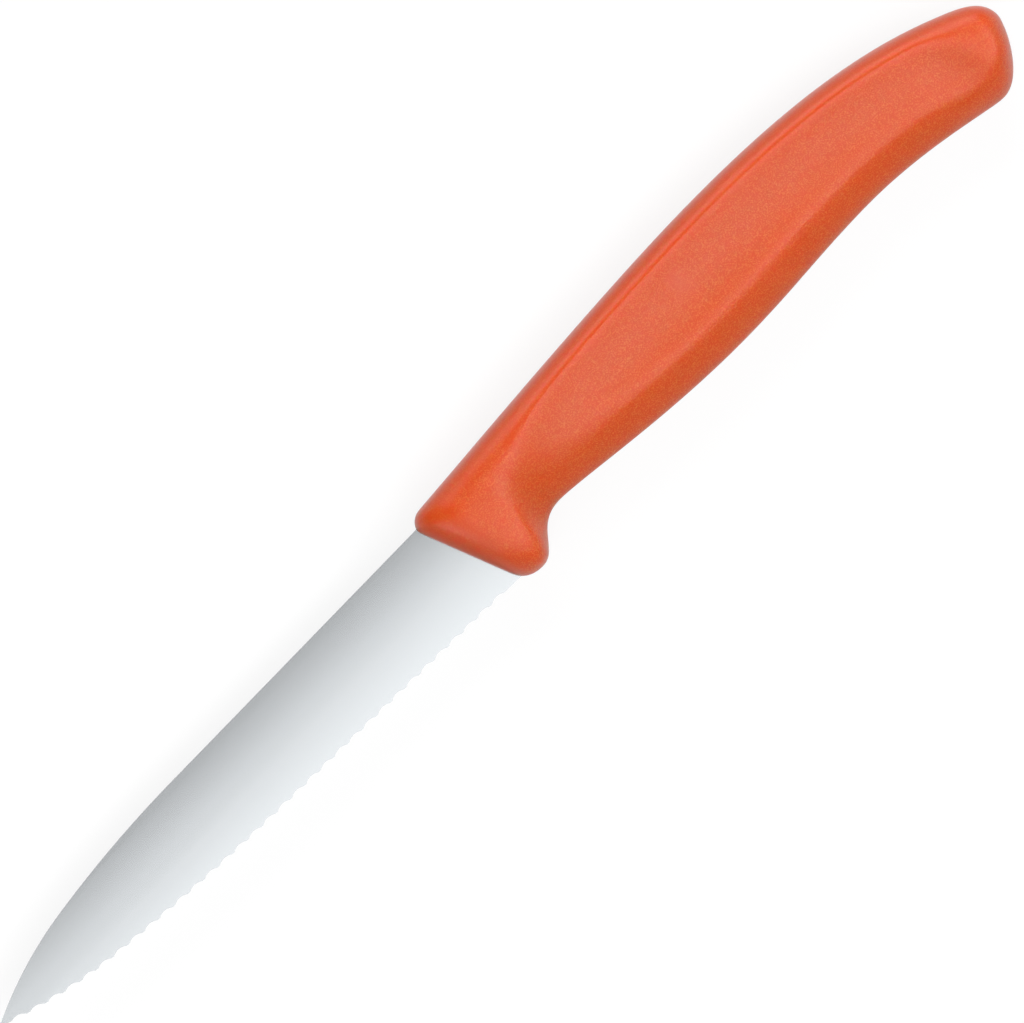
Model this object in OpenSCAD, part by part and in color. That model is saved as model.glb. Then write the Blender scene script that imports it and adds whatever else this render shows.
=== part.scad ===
// Serrated paring knife: a stamped and ground blade with its tang, and a handle moulded round the tang.
// The knife lies on its flank. X runs along the blade's back from the tip to the butt, Y from the cutting
// edge to the back, and Z through the thickness. The origin is under the middle of the whole knife.
// The outlines are drawn from the heel, where the handle starts at the cutting edge, and from the back.

/* [Blade] */
// Length of the blade along its cutting edge, from the tip to the handle
blade_len = 100; // [85:1:120]
// Depth of the blade beside the handle, from its back to its cutting edge
blade_w = 15.75; // [13:0.05:19]
// Thickness of the steel sheet
sheet_t = 1.5; // [1.2:0.05:1.8]
// Depth that grinding takes off each face at the back, beside the handle
face_skim = 0.05; // [0.03:0.005:0.08]
// How much thinner the back is at the tip than beside the handle
back_taper = 0.6; // [0.4:0.05:0.75]
// Thickness between the ground faces at the cutting edge, beside the handle
edge_t = 0.3; // [0.24:0.01:0.4]
// Length of the long curve in which the back starts to drop
back_curve_len = 25.3; // [18:0.1:32]
// Radius of that long curve
back_curve_r = 185; // [150:5:260]
// Length of the back's last curve, down to the tip
back_tip_len = 17.6; // [12:0.2:22]
// Radius of the back's last curve
back_tip_r = 61.6; // [50:0.2:80]
// Length of the long curve in which the cutting edge starts to rise
belly_len = 32.8; // [24:0.2:40]
// Radius of that long curve
belly_r = 387; // [300:1:480]
// Length of the cutting edge's last curve, up to the tip
belly_tip_len = 19.6; // [14:0.2:24]
// Radius of the cutting edge's last curve
belly_tip_r = 77.4; // [62:0.2:100]

/* [Wave edge] */
// Distance between the points of the wave
wave_pitch = 2.9; // [2.4:0.1:3.6]
// Depth of a hollow behind the line of the points
wave_depth = 0.37; // [0.3:0.01:0.45]
// Width left at each point between two hollows
point_w = 0.6; // [0.4:0.05:0.8]
// Angle of the wave's bevel, which is ground from the lower face only
bevel_angle = 14; // [12:0.5:17]
// Thickness left along the very edge
edge_land = 0.04; // [0.03:0.005:0.06]
// Length of the plain heel between the wave and the handle
plain_heel = 3; // [2:0.5:5]

/* [Tang] */
// Length of the tang behind the heel
tang_len = 60; // [45:1:72]
// Height of the tang
tang_h = 7.5; // [6:0.1:9]
// Distance of the tang's upper side below the blade's back
tang_drop = 1.5; // [1:0.1:2]
// How far the blade's full depth runs on inside the handle
shoulder_len = 1.5; // [1:0.1:2.2]
// Diameter of the holes that lock the handle
hole_d = 4; // [3:0.1:4.8]
// Distance of the first hole behind the heel
hole_x = 20; // [14:1:26]
// Distance between the holes
hole_gap = 26; // [20:1:32]

/* [Handle outline] */
// Length of the handle from the heel to the furthest point of the butt
handle_len = 107.5; // [95:0.5:128]
// Lean of the handle's front towards the tip, in degrees
front_lean = 20.3; // [15:0.1:25]
// How far the front corner stands above the blade's back
corner_rise = 1.75; // [1.2:0.05:2.2]
// Height of the crest above the blade's back
crest_rise = 4.63; // [3.8:0.01:5.6]
// Distance of the crest behind the heel
crest_x = 55.2; // [46:0.1:62]
// How far the guard reaches below the cutting edge
guard_drop = 1.3; // [1:0.1:2]
// Distance of the guard's lowest point behind the heel
guard_x = 3.7; // [3:0.1:4.5]
// Distance of the finger notch behind the heel
notch_x = 12; // [10.5:0.1:14.3]
// Depth of the finger notch below the blade's back
notch_y = 12; // [11:0.1:12.8]
// Distance of the palm swell behind the heel
swell_x = 48.6; // [40:0.1:56]
// Depth of the palm swell below the blade's back
swell_y = 15.15; // [14:0.05:18]
// Distance of the waist in front of the butt
waist_x = 33.3; // [28:0.1:38]
// Depth of the waist below the blade's back
waist_y = 14.3; // [13:0.1:17]
// Distance of the rear hook in front of the butt
hook_x = 7.9; // [6.6:0.1:9.4]
// Depth of the rear hook below the blade's back
hook_y = 17.7; // [15.5:0.1:20.5]
// Distance of the rear shoulder in front of the butt
shoulder_x = 6.2; // [5.2:0.1:7.3]
// Depth of the rear shoulder below the blade's back
shoulder_y = 2.55; // [2.1:0.05:3.1]
// Fall of the back at the rear shoulder, in degrees
shoulder_fall = 23.3; // [20:0.1:27]
// Depth of the butt's furthest point below the blade's back
butt_y = 8.5; // [7.3:0.1:10]

/* [Handle flanks] */
// Thickness of the handle behind its front
front_t = 13.2; // [11:0.1:15.5]
// Thickness that the palm would have without the scoops in its flanks
palm_t = 14.8; // [12.5:0.1:17.5]
// Thickness of the handle in front of the butt
butt_t = 13; // [11:0.1:15.5]
// Thickness of the flat land that the blade comes out of
front_land = 2.8; // [2.4:0.1:3.3]
// Thickness of the flat land at the butt
butt_land = 1.2; // [0.8:0.1:1.6]
// Length over which the front is rounded
front_round = 6; // [5:0.1:7.2]
// Length over which the butt is rounded
butt_round = 3.9; // [3.2:0.1:4.6]
// Height of the flanks' thickest line, as a share of the handle's height from its belly
flank_share = 0.6; // [0.5:0.01:0.7]
// Squareness of the cross-section, where 2 is an ellipse
flank_power = 3; // [2.4:0.1:3.6]
// Distance of the scoop's upper ridge below the handle's back
upper_ridge = 2.6; // [2.2:0.1:3.1]
// Lean of the scoop's hollow just below its upper ridge, in degrees
scoop_lean = 21; // [16:1:24]
// Distance of the hollow's deepest line below its upper ridge
scoop_w = 8.5; // [7:0.1:10]
// Rounding of the upper ridge, as the depth over which two faces blend
ridge_blend = 0.75; // [0.55:0.05:0.95]
// Rounding of the lower ridge, given the same way
lower_blend = 1.1; // [0.8:0.05:1.4]
// Radius of the rounding along the handle's belly
keel_r = 1.8; // [1.5:0.1:2.2]
// Lean of the face between the belly and the hollow, in degrees
keel_lean = 60; // [55:1:64]
// Radius of the rounding along the finger notch
notch_r = 1.3; // [1.1:0.1:1.6]
// How much rounder the guard's flank is at its lower rim
guard_round = 17; // [14:0.5:20]
// How much rounder the belly is at the butt
hook_round = 2.2; // [1.8:0.1:2.6]
// How much lower the upper ridge starts, behind the guard
sweep_drop = 14; // [12:0.1:16]
// Distance behind the heel at which that ridge starts
sweep_x = 7; // [6:0.1:8]
// Length over which that ridge sweeps up to the handle's back
sweep_len = 3.6; // [3:0.1:4.2]
// Distance in front of the butt at which the scoop ends
scoop_end = 3.2; // [2.5:0.1:4]
// Length over which the scoop runs out at its end
scoop_fade = 8.5; // [6.5:0.5:11]

/* [Fit] */
// Gap between the tang and the plastic moulded round it
mould_gap = 0; // [0:0.01:0.05]

/* [Hidden] */

// Steps of the true curves, of the blade's crown, of the outlines, of the handle's cross-section and along it
round_fn = 180;
crown_steps = 16;
rim_steps = 10;
scoop_steps = 16;
tip_steps = 12;
curve_steps = 16;
nose_steps = 10;
guard_steps = 10;
body_steps = 41;
butt_steps = 12;
// Margin by which a cutting shape passes what it cuts
over = 1;
// Least share of a section's height at which the upper ridge lies, and the lower ridge's share of that
least_upper = 0.3;
lower_share = 0.3;
// Lengths behind the notch over which the hollow and the belly's rounding get their full size
hollow_start = 14;
keel_start = 34;
// Length in front of the butt over which the belly gets rounder
hook_start = 20;
// Distance behind the guard's lowest point to which its rounder rim goes, and the length over which it fades
guard_rim = 1.3;
guard_fade = 1.3;
// How far the hollow rises at its end
end_lift = 2.5;
// Heights above the cutting edge and below the back between which the front is straight
low_corner = 1.4;
high_corner = 0.8;
// Length of the curve at the front's upper corner, and the slope of the back behind it, in degrees
corner_run = 2.15;
corner_slope = 3.4;
// Lengths at the front and at the butt in which sections are drawn close together
guard_end = 16;
butt_end = 7;
// Lengths over which the thickness grows behind the rounded front and in front of the rounded butt
front_growth = 18;
butt_growth = 15;

// A blade side: a straight run, then a long curve and a tip curve, measured from the tip end
back_side = [back_curve_r, back_curve_len, back_tip_r, back_tip_len];
edge_side = [belly_r, belly_len, belly_tip_r, belly_tip_len];

function side_reach(s) = s[1] + s[3];
function tip_curve_centre(s) = let (a = asin(s[1] / s[0]))
    [s[3] + s[2] * sin(a), -s[0] * (1 - cos(a)) - s[2] * cos(a)];
// Drop of a side below its straight run, and its slope, at a distance from the tip
function side_drop(s, x) = let (c = tip_curve_centre(s))
    x >= side_reach(s) ? 0
    : x >= s[3] ? s[0] - sqrt(pow(s[0], 2) - pow(side_reach(s) - x, 2))
    : -c.y - sqrt(pow(s[2], 2) - pow(x - c.x, 2));
function side_slope(s, x) = let (c = tip_curve_centre(s))
    x >= side_reach(s) ? 0
    : x >= s[3] ? asin((side_reach(s) - x) / s[0])
    : asin((c.x - x) / s[2]);

// The tip, and the cutting edge's straight run, which leans so that it meets both the tip and the heel
tip_y = side_drop(back_side, 0);
edge_rise = side_drop(edge_side, 0);
heel_span = norm([blade_len, blade_w - tip_y]);
edge_lean = atan2(blade_w - tip_y, blade_len) - asin(edge_rise / heel_span);
edge_run = sqrt(pow(heel_span, 2) - pow(edge_rise, 2));

function turned(p, a) = [p.x * cos(a) - p.y * sin(a), p.x * sin(a) + p.y * cos(a)];
// A point of the cutting edge's line, and the line's direction there, at a distance from the tip
function edge_point(x) = [-blade_len, -tip_y] + turned([x, side_drop(edge_side, x) - edge_rise], -edge_lean);
function edge_angle(x) = -edge_lean - side_slope(edge_side, x);

// The ground faces: crowned in depth and thinner towards the tip
heel_half = sheet_t / 2 - face_skim;
crown_r = pow(blade_w, 2) / (2 * heel_half - edge_t);
taper_slope = back_taper / 2 / blade_len;
function ground_half(p) = heel_half + p.x * taper_slope - crown_r + sqrt(pow(crown_r, 2) - pow(p.y, 2));

// The wave: hollows of one radius along a bevel
crown_angle = asin(blade_w / crown_r);
hollow_w = wave_pitch - point_w;
hollow_plan_r = (pow(hollow_w / 2, 2) + pow(wave_depth, 2)) / (2 * wave_depth);
hollow_r = hollow_plan_r / sin(bevel_angle + crown_angle);
bevel_reach = sheet_t / tan(bevel_angle);
wave_start = edge_run - plain_heel;
wave_count = floor(wave_start / wave_pitch);

// Distances from the tip at which a side is drawn: close together on the tip curve, wider on the long one
function side_steps(s) = concat(
    [for (i = [0:tip_steps - 1]) s[3] * i / tip_steps],
    [for (i = [0:tip_steps]) s[3] + s[1] * i / tip_steps]);

module blade_outline() {
    back_steps = side_steps(back_side);
    edge_steps = side_steps(edge_side);
    heel = edge_point(edge_run + shoulder_len / cos(edge_lean));
    polygon(concat(
        [for (x = back_steps) [x - blade_len, -side_drop(back_side, x)]],
        [[heel.x, 0], heel],
        [for (i = [len(edge_steps) - 1:-1:1]) edge_point(edge_steps[i])]));
}

// The space on the inner side of one ground face, whose crown is drawn in narrow strips
module ground_space(side) {
    depth = blade_w + 2 * over;
    crown = [for (i = [0:crown_steps]) over - depth * i / crown_steps];
    rotate([0, -side * atan(taper_slope), 0])
        translate([-blade_len - over, 0, side * heel_half])
            rotate([90, 0, 90])
                linear_extrude(blade_len + shoulder_len + 3 * over)
                    polygon(concat(
                        [for (y = crown) [y, side * (sqrt(pow(crown_r, 2) - pow(y, 2)) - crown_r)]],
                        [[over - depth, -side * 2 * sheet_t], [over, -side * 2 * sheet_t]]));
}

module tang(gap) {
    mid_y = -tang_drop - tang_h / 2;
    end_x = tang_len - tang_h / 2;
    difference() {
        linear_extrude(sheet_t + 2 * gap, center = true) {
            translate([0, mid_y - tang_h / 2 - gap])
                square([end_x, tang_h + 2 * gap]);
            translate([end_x, mid_y])
                circle(tang_h / 2 + gap, $fn = round_fn);
        }
        for (i = [0, 1])
            translate([hole_x + i * hole_gap, mid_y])
                cylinder(d = hole_d - 2 * gap, h = 2 * sheet_t, center = true, $fn = round_fn);
    }
}

// The steel before the wave is ground, which is also the hollow that it leaves in the handle
module blank(gap = 0) {
    intersection() {
        linear_extrude(sheet_t, center = true)
            blade_outline();
        ground_space(1);
        ground_space(-1);
    }
    tang(gap);
}

// The wave's plain bevel: a wedge that follows the cutting edge, its upper side along the bevel
module wave_bevel() {
    xs = [for (i = [0:wave_count + 1]) wave_start - i * wave_pitch];
    rise = tan(bevel_angle);
    points = [for (x = xs)
        let (p = edge_point(max(x, 0)), a = edge_angle(max(x, 0)),
             q = p + min(x, 0) * [cos(a), sin(a)], inward = [-sin(a), cos(a)],
             z = ground_half(p) - edge_land,
             outer = q - over * inward, inner = q + bevel_reach * inward)
        each [[outer.x, outer.y, z + over * rise],
              [inner.x, inner.y, z - bevel_reach * rise],
              [outer.x, outer.y, z - bevel_reach * rise]]];
    last = len(points) - 3;
    faces = concat(
        [[0, 1, 2], [last + 2, last + 1, last]],
        [for (i = [0:3:last - 3], j = [0:2])
            let (k = (j + 1) % 3)
            each [[i + j, i + 3 + j, i + 3 + k], [i + j, i + 3 + k, i + k]]]);
    polyhedron(points, faces);
}

module wave_hollow(x) {
    p = edge_point(x);
    translate([p.x, p.y, ground_half(p)])
        rotate(edge_angle(x))
            translate([0, wave_depth, wave_depth * tan(crown_angle)])
                rotate([90 - bevel_angle, 0, 0])
                    translate([0, -hollow_r, 0])
                        cylinder(r = hollow_r, h = 4 * bevel_reach, center = true, $fn = round_fn);
}

module blade_body() {
    difference() {
        blank();
        wave_bevel();
        for (i = [0:wave_count - 1])
            wave_hollow(wave_start - (i + 0.5) * wave_pitch);
    }
}

// The handle's outline: Bezier curves between the points where it turns, with the pull of each end
function bezier(a, b, c, d, t) = pow(1 - t, 3) * a + 3 * pow(1 - t, 2) * t * b
    + 3 * (1 - t) * pow(t, 2) * c + pow(t, 3) * d;
function along(a) = [cos(a), sin(a)];
function turn(p, p_angle, q, q_angle, pull, from = 0, to = 1) =
    let (span = norm(q - p), b = p + pull[0] * span * along(p_angle), c = q - pull[1] * span * along(q_angle))
    [for (i = [0:curve_steps]) bezier(p, b, c, q, from + (to - from) * i / curve_steps)];

front_low_y = -blade_w + low_corner;
front_high_y = -high_corner;
front_angle = 90 + front_lean;
function on_front(y) = [-(y + blade_w) * tan(front_lean), y];
front_low = on_front(front_low_y);
front_high = on_front(front_high_y);
corner = [front_high.x + corner_run, corner_rise];
crest = [crest_x, crest_rise];
shoulder = [handle_len - shoulder_x, -shoulder_y];
butt = [handle_len, -butt_y];
guard = [guard_x, -blade_w - guard_drop];
notch = [notch_x, -notch_y];
swell = [swell_x, -swell_y];
waist = [handle_len - waist_x, -waist_y];
hook = [handle_len - hook_x, -hook_y];

// The rounded butt is shared: its upper end belongs to the back, and the flat land lies between them
butt_pull = [0.35, 0.13];
land_low = 0.72;
land_high = 0.88;
back_line = concat(
    turn(front_high, front_angle, corner, corner_slope, [0.34, 0.41]),
    turn(corner, corner_slope, crest, 0, [0.3, 0.275]),
    turn(crest, 0, shoulder, -shoulder_fall, [0.425, 0.275]),
    turn(shoulder, -shoulder_fall, butt, -90, [0.35, 0.4]),
    turn(hook, 0, butt, 90, butt_pull, 1, land_high));
belly_line = concat(
    turn(front_low, front_angle - 180, guard, 0, [0.4, 0.44]),
    turn(guard, 0, notch, 0, [0.325, 0.525]),
    turn(notch, 0, swell, 0, [0.125, 0.45]),
    turn(swell, 0, waist, 0, [0.4, 0.4]),
    turn(waist, 0, hook, 0, [0.475, 0.1]),
    turn(hook, 0, butt, 90, butt_pull, 0, land_low));

// Cross-sections stand on a line from the middle of the front to the middle of the butt, and turn with it
back_end = back_line[len(back_line) - 1];
belly_end = belly_line[len(belly_line) - 1];
axis_start = (front_low + front_high) / 2;
axis_end = (belly_end + back_end) / 2;
axis_len = norm(axis_end - axis_start);
butt_angle = atan2(back_end.y - belly_end.y, back_end.x - belly_end.x);
stations = concat(
    [for (i = [0:nose_steps - 1]) front_round * (1 - cos(90 * i / nose_steps))],
    [for (i = [0:guard_steps - 1]) front_round + (guard_end - front_round) * i / guard_steps],
    [for (i = [0:body_steps - 1]) guard_end + (axis_len - butt_end - guard_end) * i / body_steps],
    [for (i = [0:butt_steps]) axis_len - butt_end * (1 - sin(90 * i / butt_steps))]);

function side_of(p, d, q) = d.x * (q.y - p.y) - d.y * (q.x - p.x);
// The first crossing of a drawn line by the straight line through p along d
function crossing(p, d, line) =
    let (s = [for (q = line) side_of(p, d, q)],
         hits = [for (i = [0:len(s) - 2]) if (s[i] > 0 && s[i + 1] <= 0) i],
         i = hits[0])
    line[i] + (line[i + 1] - line[i]) * s[i] / (s[i] - s[i + 1]);

function ease(x) = let (t = min(max(x, 0), 1)) pow(t, 2) * (3 - 2 * t);
function arc_rise(x) = x >= 1 ? 1 : sqrt(max(0, 1 - pow(1 - x, 2)));
function half_at(s) =
    let (body = palm_t / 2,
         h = s < axis_len / 2
             ? front_t / 2 + (body - front_t / 2) * ease((s - front_round) / front_growth)
             : butt_t / 2 + (body - butt_t / 2) * ease((axis_len - s - butt_round) / butt_growth),
         land = s < axis_len / 2 ? front_land / 2 : butt_land / 2,
         rise = s < axis_len / 2 ? arc_rise(s / front_round) : arc_rise((axis_len - s) / butt_round))
    land + (h - land) * rise;

// Half thickness of the plain, convex section at a share of the height
function pillow(t, h) =
    let (x = t > flank_share ? (t - flank_share) / (1 - flank_share) : (flank_share - t) / flank_share)
    h * pow(max(1 - pow(x, flank_power), 0), 1 / flank_power);
// The face that rises from the belly point at x: sharp at the notch, rounder behind it and on the guard
function keel_face(x, above_belly) =
    let (behind = (keel_r - notch_r) * ease((x - notch_x) / keel_start),
         guard = guard_round * exp(-max(x - guard_x - guard_rim, 0) / guard_fade),
         r = notch_r + behind + guard + hook_round * ease(1 - (handle_len - x) / hook_start))
    sqrt(2 * r * above_belly + pow(above_belly / tan(keel_lean), 2));
// Depth of the hollow at a distance below the upper ridge, straight beside the notch and round behind it
function hollow_at(x, q) =
    let (round = ease((x - notch_x) / hollow_start) / (2 * scoop_w))
    tan(scoop_lean) * (q - round * pow(max(q, 0), 2));
// The lower of two faces, with the ridge between them rounded
function blend(a, b, depth) = let (low = min(a, b), k = min(depth, low / 2))
    k <= 0 ? 0 : low - pow(max(k - abs(a - b), 0), 2) / (4 * k);

// How far the upper ridge lies below its line along the back, and its share of a section's height
function sweep_at(x) = sweep_drop * exp(-(x - sweep_x) / sweep_len);
function upper_at(x, height) = max(1 - (upper_ridge + sweep_at(x)) / height, least_upper);
// The share where that line crosses a section, found by closing in on it from a first guess
function upper_share(low, high, t = 0.9, tries = 8) = tries == 0 ? t
    : let (x = low.x + t * (high.x - low.x))
    upper_share(low, high, (t + upper_at(x, norm(high - low))) / 2, tries - 1);

// Shares of the height at which a section is drawn, close together at the rims and at the two ridges
function share_steps(low, high) = concat(
    [for (i = [0:rim_steps - 1]) low * (1 - cos(90 * i / rim_steps))],
    [for (i = [0:scoop_steps - 1]) low + (high - low) * (1 - cos(180 * i / scoop_steps)) / 2],
    [for (i = [0:rim_steps]) high + (1 - high) * sin(90 * i / rim_steps)]);

function section(s) =
    let (share = s / axis_len,
         p = axis_start + share * (axis_end - axis_start),
         a = front_angle + share * (butt_angle - front_angle),
         low = s == 0 ? front_low : s >= axis_len ? belly_end : crossing(p, along(a), belly_line),
         high = s == 0 ? front_high : s >= axis_len ? back_end : crossing(p, along(a), back_line),
         h = half_at(s), height = norm(high - low), upper = upper_share(low, high),
         flank = [for (t = share_steps(lower_share * upper, upper))
             let (q = low + t * (high - low), sweep = sweep_at(q.x),
                  below = ((1 - t) * height - upper_ridge - sweep) / sqrt(1 + pow(sweep / sweep_len, 2)),
                  run_out = end_lift * (1 - ease((handle_len - scoop_end - q.x) / scoop_fade)),
                  hollow = pillow(upper_at(q.x, height), h) - hollow_at(q.x, below) + run_out,
                  scooped = blend(pillow(t, h), hollow, ridge_blend),
                  keel = keel_face(low.x, t * height))
             [q.x, q.y, t == 0 || t == 1 ? 0 : max(blend(scooped, keel, lower_blend), 0)]],
         last = len(flank) - 1)
    concat(flank, [for (i = [last - 1:-1:1]) [flank[i].x, flank[i].y, -flank[i].z]]);

sections = [for (s = stations) section(s)];
skin_points = [for (ring = sections) each ring];
skin_faces =
    let (n = len(sections[0]), last = (len(stations) - 1) * n)
    concat(
        [[for (j = [0:n - 1]) n - 1 - j], [for (j = [0:n - 1]) last + j]],
        [for (i = [0:n:last - n], j = [0:n - 1])
            let (k = (j + 1) % n, a = i + j, b = i + k, c = i + n + k, d = i + n + j)
            each (j < n / 2 ? [[a, b, c], [a, c, d]] : [[a, b, d], [b, c, d]])]);

module handle_body() {
    difference() {
        polyhedron(skin_points, skin_faces);
        blank(mould_gap);
    }
}

// The knife rests on the widest part of one flank
rest_z = max([for (p = skin_points) p.z]);
end_x = max([for (p = skin_points) p.x]);
top_y = max([for (p = skin_points) p.y]);
low_y = min([for (p = skin_points) p.y]);
rest_place = [(blade_len - end_x) / 2, -(top_y + low_y) / 2, rest_z];

module blade() {
    color("#c9cdce")
        translate(rest_place)
            blade_body();
}

module handle() {
    color("#e8652f")
        translate(rest_place)
            handle_body();
}

blade();
handle();
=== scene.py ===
import math

import bmesh
import bpy
from bpy.props import FloatProperty, FloatVectorProperty, PointerProperty
from mathutils import Matrix, Vector


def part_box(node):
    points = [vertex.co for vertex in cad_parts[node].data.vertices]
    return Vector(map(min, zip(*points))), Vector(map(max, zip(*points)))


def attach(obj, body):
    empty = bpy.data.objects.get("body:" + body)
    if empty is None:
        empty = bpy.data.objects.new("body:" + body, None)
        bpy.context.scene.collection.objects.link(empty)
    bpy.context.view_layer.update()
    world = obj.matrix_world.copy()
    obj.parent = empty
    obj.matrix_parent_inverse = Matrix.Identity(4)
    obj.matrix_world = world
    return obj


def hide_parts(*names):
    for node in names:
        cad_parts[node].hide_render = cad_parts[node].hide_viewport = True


bl_info = {
    "name": "Serrated paring knife",
    "version": (1, 0, 0),
    "blender": (4, 5, 0),
    "location": "View3D > Sidebar > Knife",
    "description": "Ground steel blade, moulded plastic handle and stage of a serrated kitchen knife",
    "category": "Object",
}

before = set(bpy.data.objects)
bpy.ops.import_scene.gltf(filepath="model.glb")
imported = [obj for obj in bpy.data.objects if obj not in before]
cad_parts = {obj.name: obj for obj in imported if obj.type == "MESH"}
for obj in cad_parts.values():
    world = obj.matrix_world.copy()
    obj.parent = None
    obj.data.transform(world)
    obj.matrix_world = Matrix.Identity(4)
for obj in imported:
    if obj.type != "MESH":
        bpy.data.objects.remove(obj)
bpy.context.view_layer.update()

MM = 0.001
BLADE_NODE = "blade"
HANDLE_NODE = "handle"
BODY = "root"

# The picture: its size, its scale at the blade's plane, and where it looks
IMAGE_WIDTH_PX = 1024
PIXELS_PER_MM = 6.85
VIEW_CENTRE_X = 2.35 * MM
VIEW_CENTRE_Y = -1.683 * MM
VIEW_TURN = math.radians(-45.85)
CAMERA_HEIGHT = 1.5
SENSOR_WIDTH_MM = 36.0
CLIP_START = 0.1
CLIP_END = 10.0

# Half of the floor's side
FLOOR_REACH = 3.0
# Each lamp: its name, the setting that gives its power, its width, its length, its place and its target
LAMPS = (
    ("key_lamp", "key_power", 1.1, 0.8, (0.32, 0.8, 0.46), (0, 0, 0)),
    ("overhead_lamp", "panel_power", 1.2, 0.75, (0, -0.4, 1.0), (0, -0.4, 0)),
    ("side_lamp", "side_power", 0.28, 0.28, (0.62, -0.28, 0.62), (0, 0, 0)),
    ("front_lamp", "front_power", 0.4, 0.4, (-0.72, -0.15, 0.42), (0, 0, 0)),
)

# Vertices closer than this are one, and faces that turn less than this against each other are one
WELD_DISTANCE = 0.002 * MM
FLAT_ANGLE = math.radians(0.02)
# Edges that turn more than this stay sharp: on the blade, whose ground faces end crisply, and on the handle
GROUND_ANGLE = math.radians(12)
SHARP_ANGLE = math.radians(50)
# Triangles that turn less than this against each other join into a quad
JOIN_ANGLE = math.radians(50)
HALF_TURN = math.radians(180)
# A face is the blade's back where its normal leans this far to +Y,
# and a ground face where it leans this far to Z
BACK_RISE = 0.3
FACE_RISE = 0.7
# Length of the blade that the handle covers and that is still finished like the rest
COVERED_LENGTH = 8 * MM
# The cutting edge's plain heel is shorter than this, so a longer straight run has lost its wave
LONGEST_PLAIN = 8 * MM
# Sides of a round cutter, and its length through the blade
CUTTER_SIDES = 64
CUTTER_LENGTH = 20 * MM
# Step at which the handle's back line is kept, distance over which the grain deepens,
# and the least share of its height that the grain has
BACK_STEP = 2 * MM
GRAIN_FADE = 1.5 * MM
LEAST_GRAIN = 0.4
# Heights of the grain's noise at which a bump's paler top begins and at which it is whole: the tops are worn,
# and also painted lighter as a highlight that stands for their gloss
PALE_TOP_FROM = 0.45
PALE_TOP_TO = 0.68
# Polypropylene: its IOR, how much of its light comes from inside,
# and how far red, green and blue spread there, as shares of the glow depth
PLASTIC_IOR = 1.5
GLOW_SHARE = 0.85
GLOW_SPREAD = (1.0, 0.1, 0.03)


def linear(hex_colour):
    """The linear RGBA of an sRGB colour written as six hex digits."""
    channels = [int(hex_colour[i : i + 2], 16) / 255 for i in (0, 2, 4)]
    return [c / 12.92 if c <= 0.04045 else ((c + 0.055) / 1.055) ** 2.4 for c in channels] + [1.0]


def add_node(tree, kind, inputs=None, **settings):
    """Adds a node, sets its properties, and sets or links its inputs."""
    node = tree.nodes.new(kind)
    for name, value in settings.items():
        setattr(node, name, value)
    for name, value in (inputs or {}).items():
        if isinstance(value, bpy.types.NodeSocket):
            tree.links.new(value, node.inputs[name])
        else:
            node.inputs[name].default_value = value
    return node


def new_material(name):
    """An empty material with its shader joined to the output."""
    material = bpy.data.materials.new(name)
    material.use_nodes = True
    tree = material.node_tree
    tree.nodes.clear()
    shader = add_node(tree, "ShaderNodeBsdfPrincipled")
    output = add_node(tree, "ShaderNodeOutputMaterial")
    tree.links.new(shader.outputs["BSDF"], output.inputs["Surface"])
    return material, tree, shader


class BladeSettings(bpy.types.PropertyGroup):
    """Sizes and colours of the ground steel blade."""

    steel_colour: FloatVectorProperty(
        name="Steel colour", description="Colour that the steel reflects", subtype="COLOR", size=4,
        min=0.0, max=1.0, default=linear("A8ABAD"))
    roughness: FloatProperty(
        name="Roughness", description="Roughness of the satin grind", default=0.27, min=0.0, max=1.0)
    spine_break: FloatProperty(
        name="Spine break", description="Width of the rounding along the edges of the blade's back",
        default=0.16 * MM, min=0.02 * MM, max=0.4 * MM, unit="LENGTH")
    line_spacing: FloatProperty(
        name="Grinding line spacing", description="Distance between the grinding lines that show",
        default=0.35 * MM, min=0.05 * MM, max=2 * MM, unit="LENGTH")
    line_length: FloatProperty(
        name="Grinding line length", description="Length over which a grinding line runs out",
        default=40 * MM, min=2 * MM, max=200 * MM, unit="LENGTH")
    line_contrast: FloatProperty(
        name="Grinding line contrast", description="How much darker a grinding line is",
        default=0.02, min=0.0, max=1.0)
    wave_pitch: FloatProperty(
        name="Wave pitch", description="Distance between the points of the wave-ground edge",
        default=2.9 * MM, min=1 * MM, max=10 * MM, unit="LENGTH")
    wave_depth: FloatProperty(
        name="Wave depth", description="Depth of the wave's hollows in the edge's outline",
        default=0.376 * MM, min=0.05 * MM, max=2 * MM, unit="LENGTH")
    point_width: FloatProperty(
        name="Point width", description="Width of the points between the wave's hollows",
        default=0.51 * MM, min=0.1 * MM, max=2 * MM, unit="LENGTH")
    # The back's colour is painted shade: far darker than stamped steel, it draws the dark line along the
    # rounded spine edges
    back_painted_shade_colour: FloatVectorProperty(
        name="Back colour", description="Colour that the unground back reflects", subtype="COLOR", size=4,
        min=0.0, max=1.0, default=linear("4A4B4D"))
    back_roughness: FloatProperty(
        name="Back roughness", description="Roughness of the unground back", default=0.5, min=0.0, max=1.0)


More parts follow.
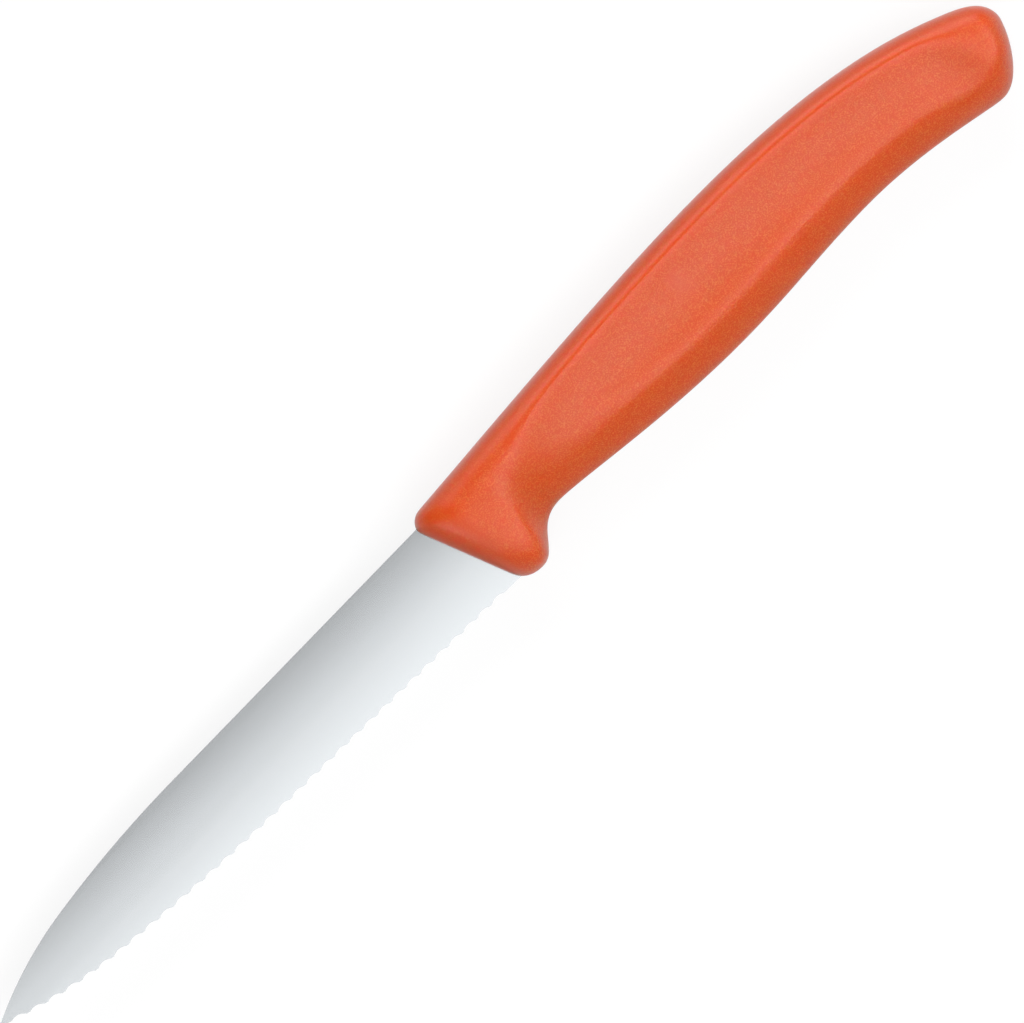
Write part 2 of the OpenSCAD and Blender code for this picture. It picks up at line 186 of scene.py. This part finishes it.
class HandleSettings(bpy.types.PropertyGroup):
    """Sizes and colours of the moulded handle."""

    plastic_colour: FloatVectorProperty(
        name="Plastic colour", description="Colour of the moulded plastic", subtype="COLOR", size=4,
        min=0.0, max=1.0, default=linear("DC4E0A"))
    roughness: FloatProperty(
        name="Roughness", description="Roughness between the grain's bumps", default=0.33, min=0.0, max=1.0)
    grain_size: FloatProperty(
        name="Grain size", description="Distance between the bumps of the mould's grain",
        default=0.22 * MM, min=0.05 * MM, max=1 * MM, unit="LENGTH")
    # The top colour is partly wear and partly a painted highlight on the grain's tops
    top_wear_and_highlight_colour: FloatVectorProperty(
        name="Top colour", description="Colour of the grain's rubbed tops", subtype="COLOR", size=4,
        min=0.0, max=1.0, default=linear("E87636"))
    grain_height: FloatProperty(
        name="Grain height", description="Height of the bumps of the mould's grain",
        default=0.09 * MM, min=0.0, max=0.6 * MM, unit="LENGTH")
    glow_depth: FloatProperty(
        name="Glow depth", description="How far light spreads inside the plastic",
        default=6 * MM, min=0.0, max=20 * MM, unit="LENGTH")
    smooth_band: FloatProperty(
        name="Smooth band", description="Width of the band along the back where the grain is shallow",
        default=2.4 * MM, min=0.0, max=8 * MM, unit="LENGTH")
    smooth_front: FloatProperty(
        name="Smooth front", description="Length of the handle's front where the grain is shallow",
        default=6 * MM, min=0.0, max=20 * MM, unit="LENGTH")


class StageSettings(bpy.types.PropertyGroup):
    """Floor, light and surroundings."""

    floor_colour: FloatVectorProperty(
        name="Floor colour", description="Colour of the floor", subtype="COLOR", size=4,
        min=0.0, max=1.0, default=linear("707070"))
    floor_lift: FloatProperty(
        name="Floor lift", description="White that the camera sees on the floor besides the light on it",
        default=0.85, min=0.0, max=1.0)
    world_strength: FloatProperty(
        name="Surroundings", description="Brightness of the surroundings", default=0.14, min=0.0, max=2.0)
    key_power: FloatProperty(
        name="Key lamp", description="Power of the large lamp beyond the knife's back",
        default=6.2, min=0.0, max=50.0, subtype="POWER")
    panel_power: FloatProperty(
        name="Overhead lamp", description="Power of the wide lamp above the cutting edge's side",
        default=7.3, min=0.0, max=50.0, subtype="POWER")
    side_power: FloatProperty(
        name="Side lamp", description="Power of the small lamp beyond the butt",
        default=2.2, min=0.0, max=50.0, subtype="POWER")
    front_power: FloatProperty(
        name="Front lamp", description="Power of the small lamp beyond the tip",
        default=1.3, min=0.0, max=50.0, subtype="POWER")


def ground_steel(settings):
    """Stainless blade steel, satin-ground along the blade: a soft metal gloss, drawn out in faint lines."""
    material, tree, shader = new_material("stainless_steel_satin_ground")
    place = add_node(tree, "ShaderNodeTexCoord")
    # Real lines are about 0.05 mm apart, too fine to show, so they are drawn coarser
    lines = add_node(tree, "ShaderNodeMapping", {
        "Vector": place.outputs["Object"],
        "Scale": (1 / settings.line_length, 1 / settings.line_spacing, 1 / settings.line_spacing)})
    grind = add_node(tree, "ShaderNodeTexNoise", {
        "Vector": lines.outputs["Vector"], "Scale": 1.0, "Detail": 3.0, "Roughness": 0.6})
    line_colour = [c * (1 - settings.line_contrast) for c in settings.steel_colour[:3]] + [1.0]
    colour = add_node(tree, "ShaderNodeMix", {
        0: grind.outputs["Fac"], 6: line_colour, 7: settings.steel_colour}, data_type="RGBA")
    tree.links.new(colour.outputs[2], shader.inputs["Base Color"])
    shader.inputs["Metallic"].default_value = 1.0
    shader.inputs["Roughness"].default_value = settings.roughness
    return material


def back_steel_painted_shade(settings):
    """Stainless steel as it was stamped, for the blade's back: duller than the ground faces, and darker by
    painted shade, which draws the dark line along the spine.
    """
    material, tree, shader = new_material("stainless_steel_stamped_back")
    shader.inputs["Base Color"].default_value = settings.back_painted_shade_colour
    shader.inputs["Metallic"].default_value = 1.0
    shader.inputs["Roughness"].default_value = settings.back_roughness
    return material


def moulded_plastic(settings):
    """Orange polypropylene from a grained mould: a dull sheen, broken up by fine pebbles whose tops are worn
    and painted lighter as a highlight.
    """
    material, tree, shader = new_material("polypropylene_grained")
    place = add_node(tree, "ShaderNodeTexCoord")
    grain = add_node(tree, "ShaderNodeTexNoise", {
        "Vector": place.outputs["Object"], "Scale": 1 / settings.grain_size, "Detail": 2.0, "Roughness": 0.5})
    depth = add_node(tree, "ShaderNodeAttribute", attribute_name="grain")
    bump = add_node(tree, "ShaderNodeBump", {
        "Height": grain.outputs["Fac"], "Strength": depth.outputs["Fac"], "Distance": settings.grain_height})
    # Paler bump tops: partly wear, partly a painted highlight that stands for the gloss on them
    height = add_node(tree, "ShaderNodeMapRange", {
        "Value": grain.outputs["Fac"], "From Min": PALE_TOP_FROM, "From Max": PALE_TOP_TO})
    wear_and_highlight = add_node(tree, "ShaderNodeMath", {
        0: height.outputs["Result"], 1: depth.outputs["Fac"]}, operation="MULTIPLY")
    colour = add_node(tree, "ShaderNodeMix", {
        0: wear_and_highlight.outputs[0], 6: settings.plastic_colour, 7: settings.top_wear_and_highlight_colour}, data_type="RGBA")
    tree.links.new(colour.outputs[2], shader.inputs["Base Color"])
    shader.inputs["Roughness"].default_value = settings.roughness
    shader.inputs["IOR"].default_value = PLASTIC_IOR
    shader.inputs["Subsurface Weight"].default_value = GLOW_SHARE
    shader.inputs["Subsurface Radius"].default_value = GLOW_SPREAD
    shader.inputs["Subsurface Scale"].default_value = settings.glow_depth
    tree.links.new(bump.outputs["Normal"], shader.inputs["Normal"])
    return material


def floor_paper(settings):
    """White paper sweep: dull, and bright enough to read as the picture's white."""
    material, tree, shader = new_material("paper_sweep_matt")
    shader.inputs["Base Color"].default_value = settings.floor_colour
    shader.inputs["Roughness"].default_value = 1.0
    shader.inputs["Specular IOR Level"].default_value = 0.0
    path = add_node(tree, "ShaderNodeLightPath")
    seen = add_node(tree, "ShaderNodeMath", {
        0: path.outputs["Is Camera Ray"], 1: path.outputs["Is Glossy Ray"]}, operation="MAXIMUM")
    seen = add_node(tree, "ShaderNodeMath", {
        0: seen.outputs[0], 1: path.outputs["Is Transmission Ray"]}, operation="MAXIMUM")
    lift = add_node(tree, "ShaderNodeMath", {
        0: seen.outputs[0], 1: settings.floor_lift}, operation="MULTIPLY")
    shader.inputs["Emission Color"].default_value = (1.0, 1.0, 1.0, 1.0)
    tree.links.new(lift.outputs[0], shader.inputs["Emission Strength"])
    return material


def add_object(shape, name, materials=()):
    """Turns a bmesh into an object of the scene."""
    mesh = bpy.data.meshes.new(name)
    shape.to_mesh(mesh)
    shape.free()
    for material in materials:
        mesh.materials.append(material)
    made = bpy.data.objects.new(name, mesh)
    bpy.context.scene.collection.objects.link(made)
    return made


def welded_copy(node):
    """A bmesh that starts as a CAD node's mesh, with its loose triangles joined."""
    shape = bmesh.new()
    shape.from_mesh(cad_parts[node].data)
    bmesh.ops.remove_doubles(shape, verts=shape.verts[:], dist=WELD_DISTANCE)
    return shape


def finish_piece(shape, name, node, materials, sharp_angle):
    """Turns a bmesh into a piece that stands for a CAD node."""
    for face in shape.faces:
        face.smooth = True
    for edge in shape.edges:
        edge.smooth = edge.is_manifold and edge.calc_face_angle(0.0) < sharp_angle
    piece = add_object(shape, name, materials)
    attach(piece, BODY)
    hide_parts(node)
    return piece


def straight_run(shape, front):
    """The ends of the cutting edge's longest straight run before the handle's front, from the tip's side."""
    runs = []
    for edge in shape.edges:
        rises = sorted(face.normal.z for face in edge.link_faces)
        low = max(vert.co.y for vert in edge.verts) < 0 and max(vert.co.x for vert in edge.verts) < front
        if low and len(rises) == 2 and rises[0] < FACE_RISE < rises[1]:
            runs.append(edge)
    run = max(runs, key=lambda edge: edge.calc_length())
    return sorted((vert.co.copy() for vert in run.verts), key=lambda point: point.x)


def wave_cutters(start, end, first, settings):
    """A bmesh with every other round cutter along a straight run of the cutting edge."""
    along = (end - start).normalized()
    outward = Vector((along.y, -along.x, 0.0)).normalized()
    half = (settings.wave_pitch - settings.point_width) / 2
    radius = (half ** 2 + settings.wave_depth ** 2) / (2 * settings.wave_depth)
    shape = bmesh.new()
    for i in range(first, round((end - start).length / settings.wave_pitch), 2):
        middle = start + along * (settings.point_width + half + i * settings.wave_pitch)
        bmesh.ops.create_cone(
            shape, cap_ends=True, cap_tris=False, segments=CUTTER_SIDES, radius1=radius, radius2=radius,
            depth=CUTTER_LENGTH, matrix=Matrix.Translation(middle + outward * (radius - settings.wave_depth)))
    return shape


def cut_wave(shape, start, end, settings):
    """A bmesh with the wave's hollows cut through a straight run of the cutting edge."""
    work = add_object(shape, "uncut_blade")
    made = [work]
    # Neighbouring cutters overlap, so every other one goes into a cut of its own
    for first in (0, 1):
        made.append(add_object(wave_cutters(start, end, first, settings), "wave_cutter"))
        cut = work.modifiers.new("wave", "BOOLEAN")
        cut.operation = "DIFFERENCE"
        cut.solver = "EXACT"
        cut.object = made[-1]
    result = bmesh.new()
    result.from_object(work, bpy.context.evaluated_depsgraph_get())
    for item in made:
        bpy.data.meshes.remove(item.data)
    return result


def on_back(edge, front):
    """Whether an edge lies between the blade's back and one of its faces, before the handle's front."""
    if not edge.is_manifold or edge.calc_face_angle(0.0) < SHARP_ANGLE:
        return False
    rise = max(face.normal.y for face in edge.link_faces)
    flat = max(abs(face.normal.z) for face in edge.link_faces)
    return rise > BACK_RISE and flat > FACE_RISE and max(vert.co.x for vert in edge.verts) < front


class KNIFE_OT_grind_blade(bpy.types.Operator):
    """Make the blade with its rounded back and satin-ground faces"""

    bl_idname = "knife.grind_blade"
    bl_label = "Grind the blade"

    def execute(self, context):
        settings = context.scene.knife_blade
        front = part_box(HANDLE_NODE)[0].x + COVERED_LENGTH
        # The frame's mesh is plain along part of the edge, where the CAD model has the wave
        shape = welded_copy(BLADE_NODE)
        start, end = straight_run(shape, front)
        if (end - start).length > LONGEST_PLAIN:
            shape = cut_wave(shape, start, end, settings)
        bmesh.ops.dissolve_limit(
            shape, angle_limit=FLAT_ANGLE, use_dissolve_boundaries=False,
            verts=shape.verts[:], edges=shape.edges[:], delimit=set())
        edges = [edge for edge in shape.edges if on_back(edge, front)]
        bmesh.ops.bevel(
            shape, geom=edges, offset=settings.spine_break, offset_type="OFFSET", affect="EDGES",
            segments=2, profile=0.5, material=-1, clamp_overlap=True)
        # Faces that lean to the back, the spine's rounding among them, take the steel with painted shade
        for face in shape.faces:
            face.material_index = 1 if face.normal.y > BACK_RISE else 0
        finish_piece(
            shape, "ground_blade", BLADE_NODE,
            [ground_steel(settings), back_steel_painted_shade(settings)], GROUND_ANGLE)
        return {"FINISHED"}


def grain_share(point, back_line, front, settings):
    """How much of the grain's height a point of the handle has."""
    depth = back_line[round(point.x / BACK_STEP)] - point.y
    below = min(max((depth - settings.smooth_band) / GRAIN_FADE, 0.0), 1.0)
    behind = min(max((point.x - front - settings.smooth_front) / GRAIN_FADE, 0.0), 1.0)
    return LEAST_GRAIN + (1 - LEAST_GRAIN) * below * behind


class KNIFE_OT_mould_handle(bpy.types.Operator):
    """Make the moulded handle with its grain"""

    bl_idname = "knife.mould_handle"
    bl_label = "Mould the handle"

    def execute(self, context):
        settings = context.scene.knife_handle
        shape = welded_copy(HANDLE_NODE)
        bmesh.ops.join_triangles(
            shape, faces=shape.faces[:], angle_face_threshold=JOIN_ANGLE, angle_shape_threshold=HALF_TURN)
        back_line = {}
        for vert in shape.verts:
            step = round(vert.co.x / BACK_STEP)
            back_line[step] = max(back_line.get(step, vert.co.y), vert.co.y)
        front = min(vert.co.x for vert in shape.verts)
        grain = shape.verts.layers.float.new("grain")
        for vert in shape.verts:
            vert[grain] = grain_share(vert.co, back_line, front, settings)
        crease = shape.edges.layers.float.new("crease_edge")
        for edge in shape.edges:
            if not edge.is_manifold or edge.calc_face_angle(0.0) > SHARP_ANGLE:
                edge[crease] = 1.0
        piece = finish_piece(
            shape, "moulded_handle", HANDLE_NODE, [moulded_plastic(settings)], SHARP_ANGLE)
        skin = piece.modifiers.new("skin", "SUBSURF")
        skin.levels = 1
        skin.render_levels = 1
        return {"FINISHED"}


def add_lamp(name, power, width, length, place, target):
    """A rectangular lamp that shines from its place to its target."""
    light = bpy.data.lights.new(name, "AREA")
    light.shape = "RECTANGLE"
    light.size = width
    light.size_y = length
    light.energy = power
    lamp = bpy.data.objects.new(name, light)
    lamp.location = place
    lamp.rotation_euler = (Vector(target) - Vector(place)).to_track_quat("-Z", "Y").to_euler()
    lamp.visible_camera = False
    bpy.context.scene.collection.objects.link(lamp)


class KNIFE_OT_set_stage(bpy.types.Operator):
    """Make the floor, the lamps, the surroundings and the camera"""

    bl_idname = "knife.set_stage"
    bl_label = "Set the stage"

    def execute(self, context):
        settings = context.scene.knife_stage
        shape = bmesh.new()
        bmesh.ops.create_grid(shape, x_segments=1, y_segments=1, size=FLOOR_REACH)
        floor = add_object(shape, "floor", [floor_paper(settings)])

        for name, power, width, length, place, target in LAMPS:
            add_lamp(name, getattr(settings, power), width, length, place, target)

        world = bpy.data.worlds.new("surroundings")
        world.use_nodes = True
        background = world.node_tree.nodes["Background"]
        background.inputs["Color"].default_value = (1.0, 1.0, 1.0, 1.0)
        background.inputs["Strength"].default_value = settings.world_strength
        context.scene.world = world

        blade_low, blade_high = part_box(BLADE_NODE)
        plane = (blade_low.z + blade_high.z) / 2
        camera = bpy.data.cameras.new("camera")
        camera.sensor_width = SENSOR_WIDTH_MM
        camera.lens = SENSOR_WIDTH_MM * CAMERA_HEIGHT / (IMAGE_WIDTH_PX / PIXELS_PER_MM * MM)
        camera.clip_start = CLIP_START
        camera.clip_end = CLIP_END
        holder = bpy.data.objects.new("camera", camera)
        holder.location = (VIEW_CENTRE_X, VIEW_CENTRE_Y, plane + CAMERA_HEIGHT)
        holder.rotation_euler = (0.0, 0.0, VIEW_TURN)
        context.scene.collection.objects.link(holder)
        context.scene.camera = holder
        context.scene.view_settings.view_transform = "Standard"
        return {"FINISHED"}


class KNIFE_PT_panel(bpy.types.Panel):
    """Lists what makes the knife and its stage."""

    bl_label = "Paring knife"
    bl_space_type = "VIEW_3D"
    bl_region_type = "UI"
    bl_category = "Knife"

    def draw(self, context):
        layout = self.layout
        for settings, operator in (
            (context.scene.knife_blade, KNIFE_OT_grind_blade),
            (context.scene.knife_handle, KNIFE_OT_mould_handle),
            (context.scene.knife_stage, KNIFE_OT_set_stage),
        ):
            box = layout.box()
            for name in settings.__annotations__:
                box.prop(settings, name)
            box.operator(operator.bl_idname)


CLASSES = (
    BladeSettings,
    HandleSettings,
    StageSettings,
    KNIFE_OT_grind_blade,
    KNIFE_OT_mould_handle,
    KNIFE_OT_set_stage,
    KNIFE_PT_panel,
)


def register():
    for cls in CLASSES:
        bpy.utils.register_class(cls)
    bpy.types.Scene.knife_blade = PointerProperty(type=BladeSettings)
    bpy.types.Scene.knife_handle = PointerProperty(type=HandleSettings)
    bpy.types.Scene.knife_stage = PointerProperty(type=StageSettings)


def unregister():
    del bpy.types.Scene.knife_stage
    del bpy.types.Scene.knife_handle
    del bpy.types.Scene.knife_blade
    for cls in reversed(CLASSES):
        bpy.utils.unregister_class(cls)


def main():
    register()
    bpy.ops.knife.set_stage()
    bpy.ops.knife.grind_blade()
    bpy.ops.knife.mould_handle()


if __name__ == "__main__":
    main()
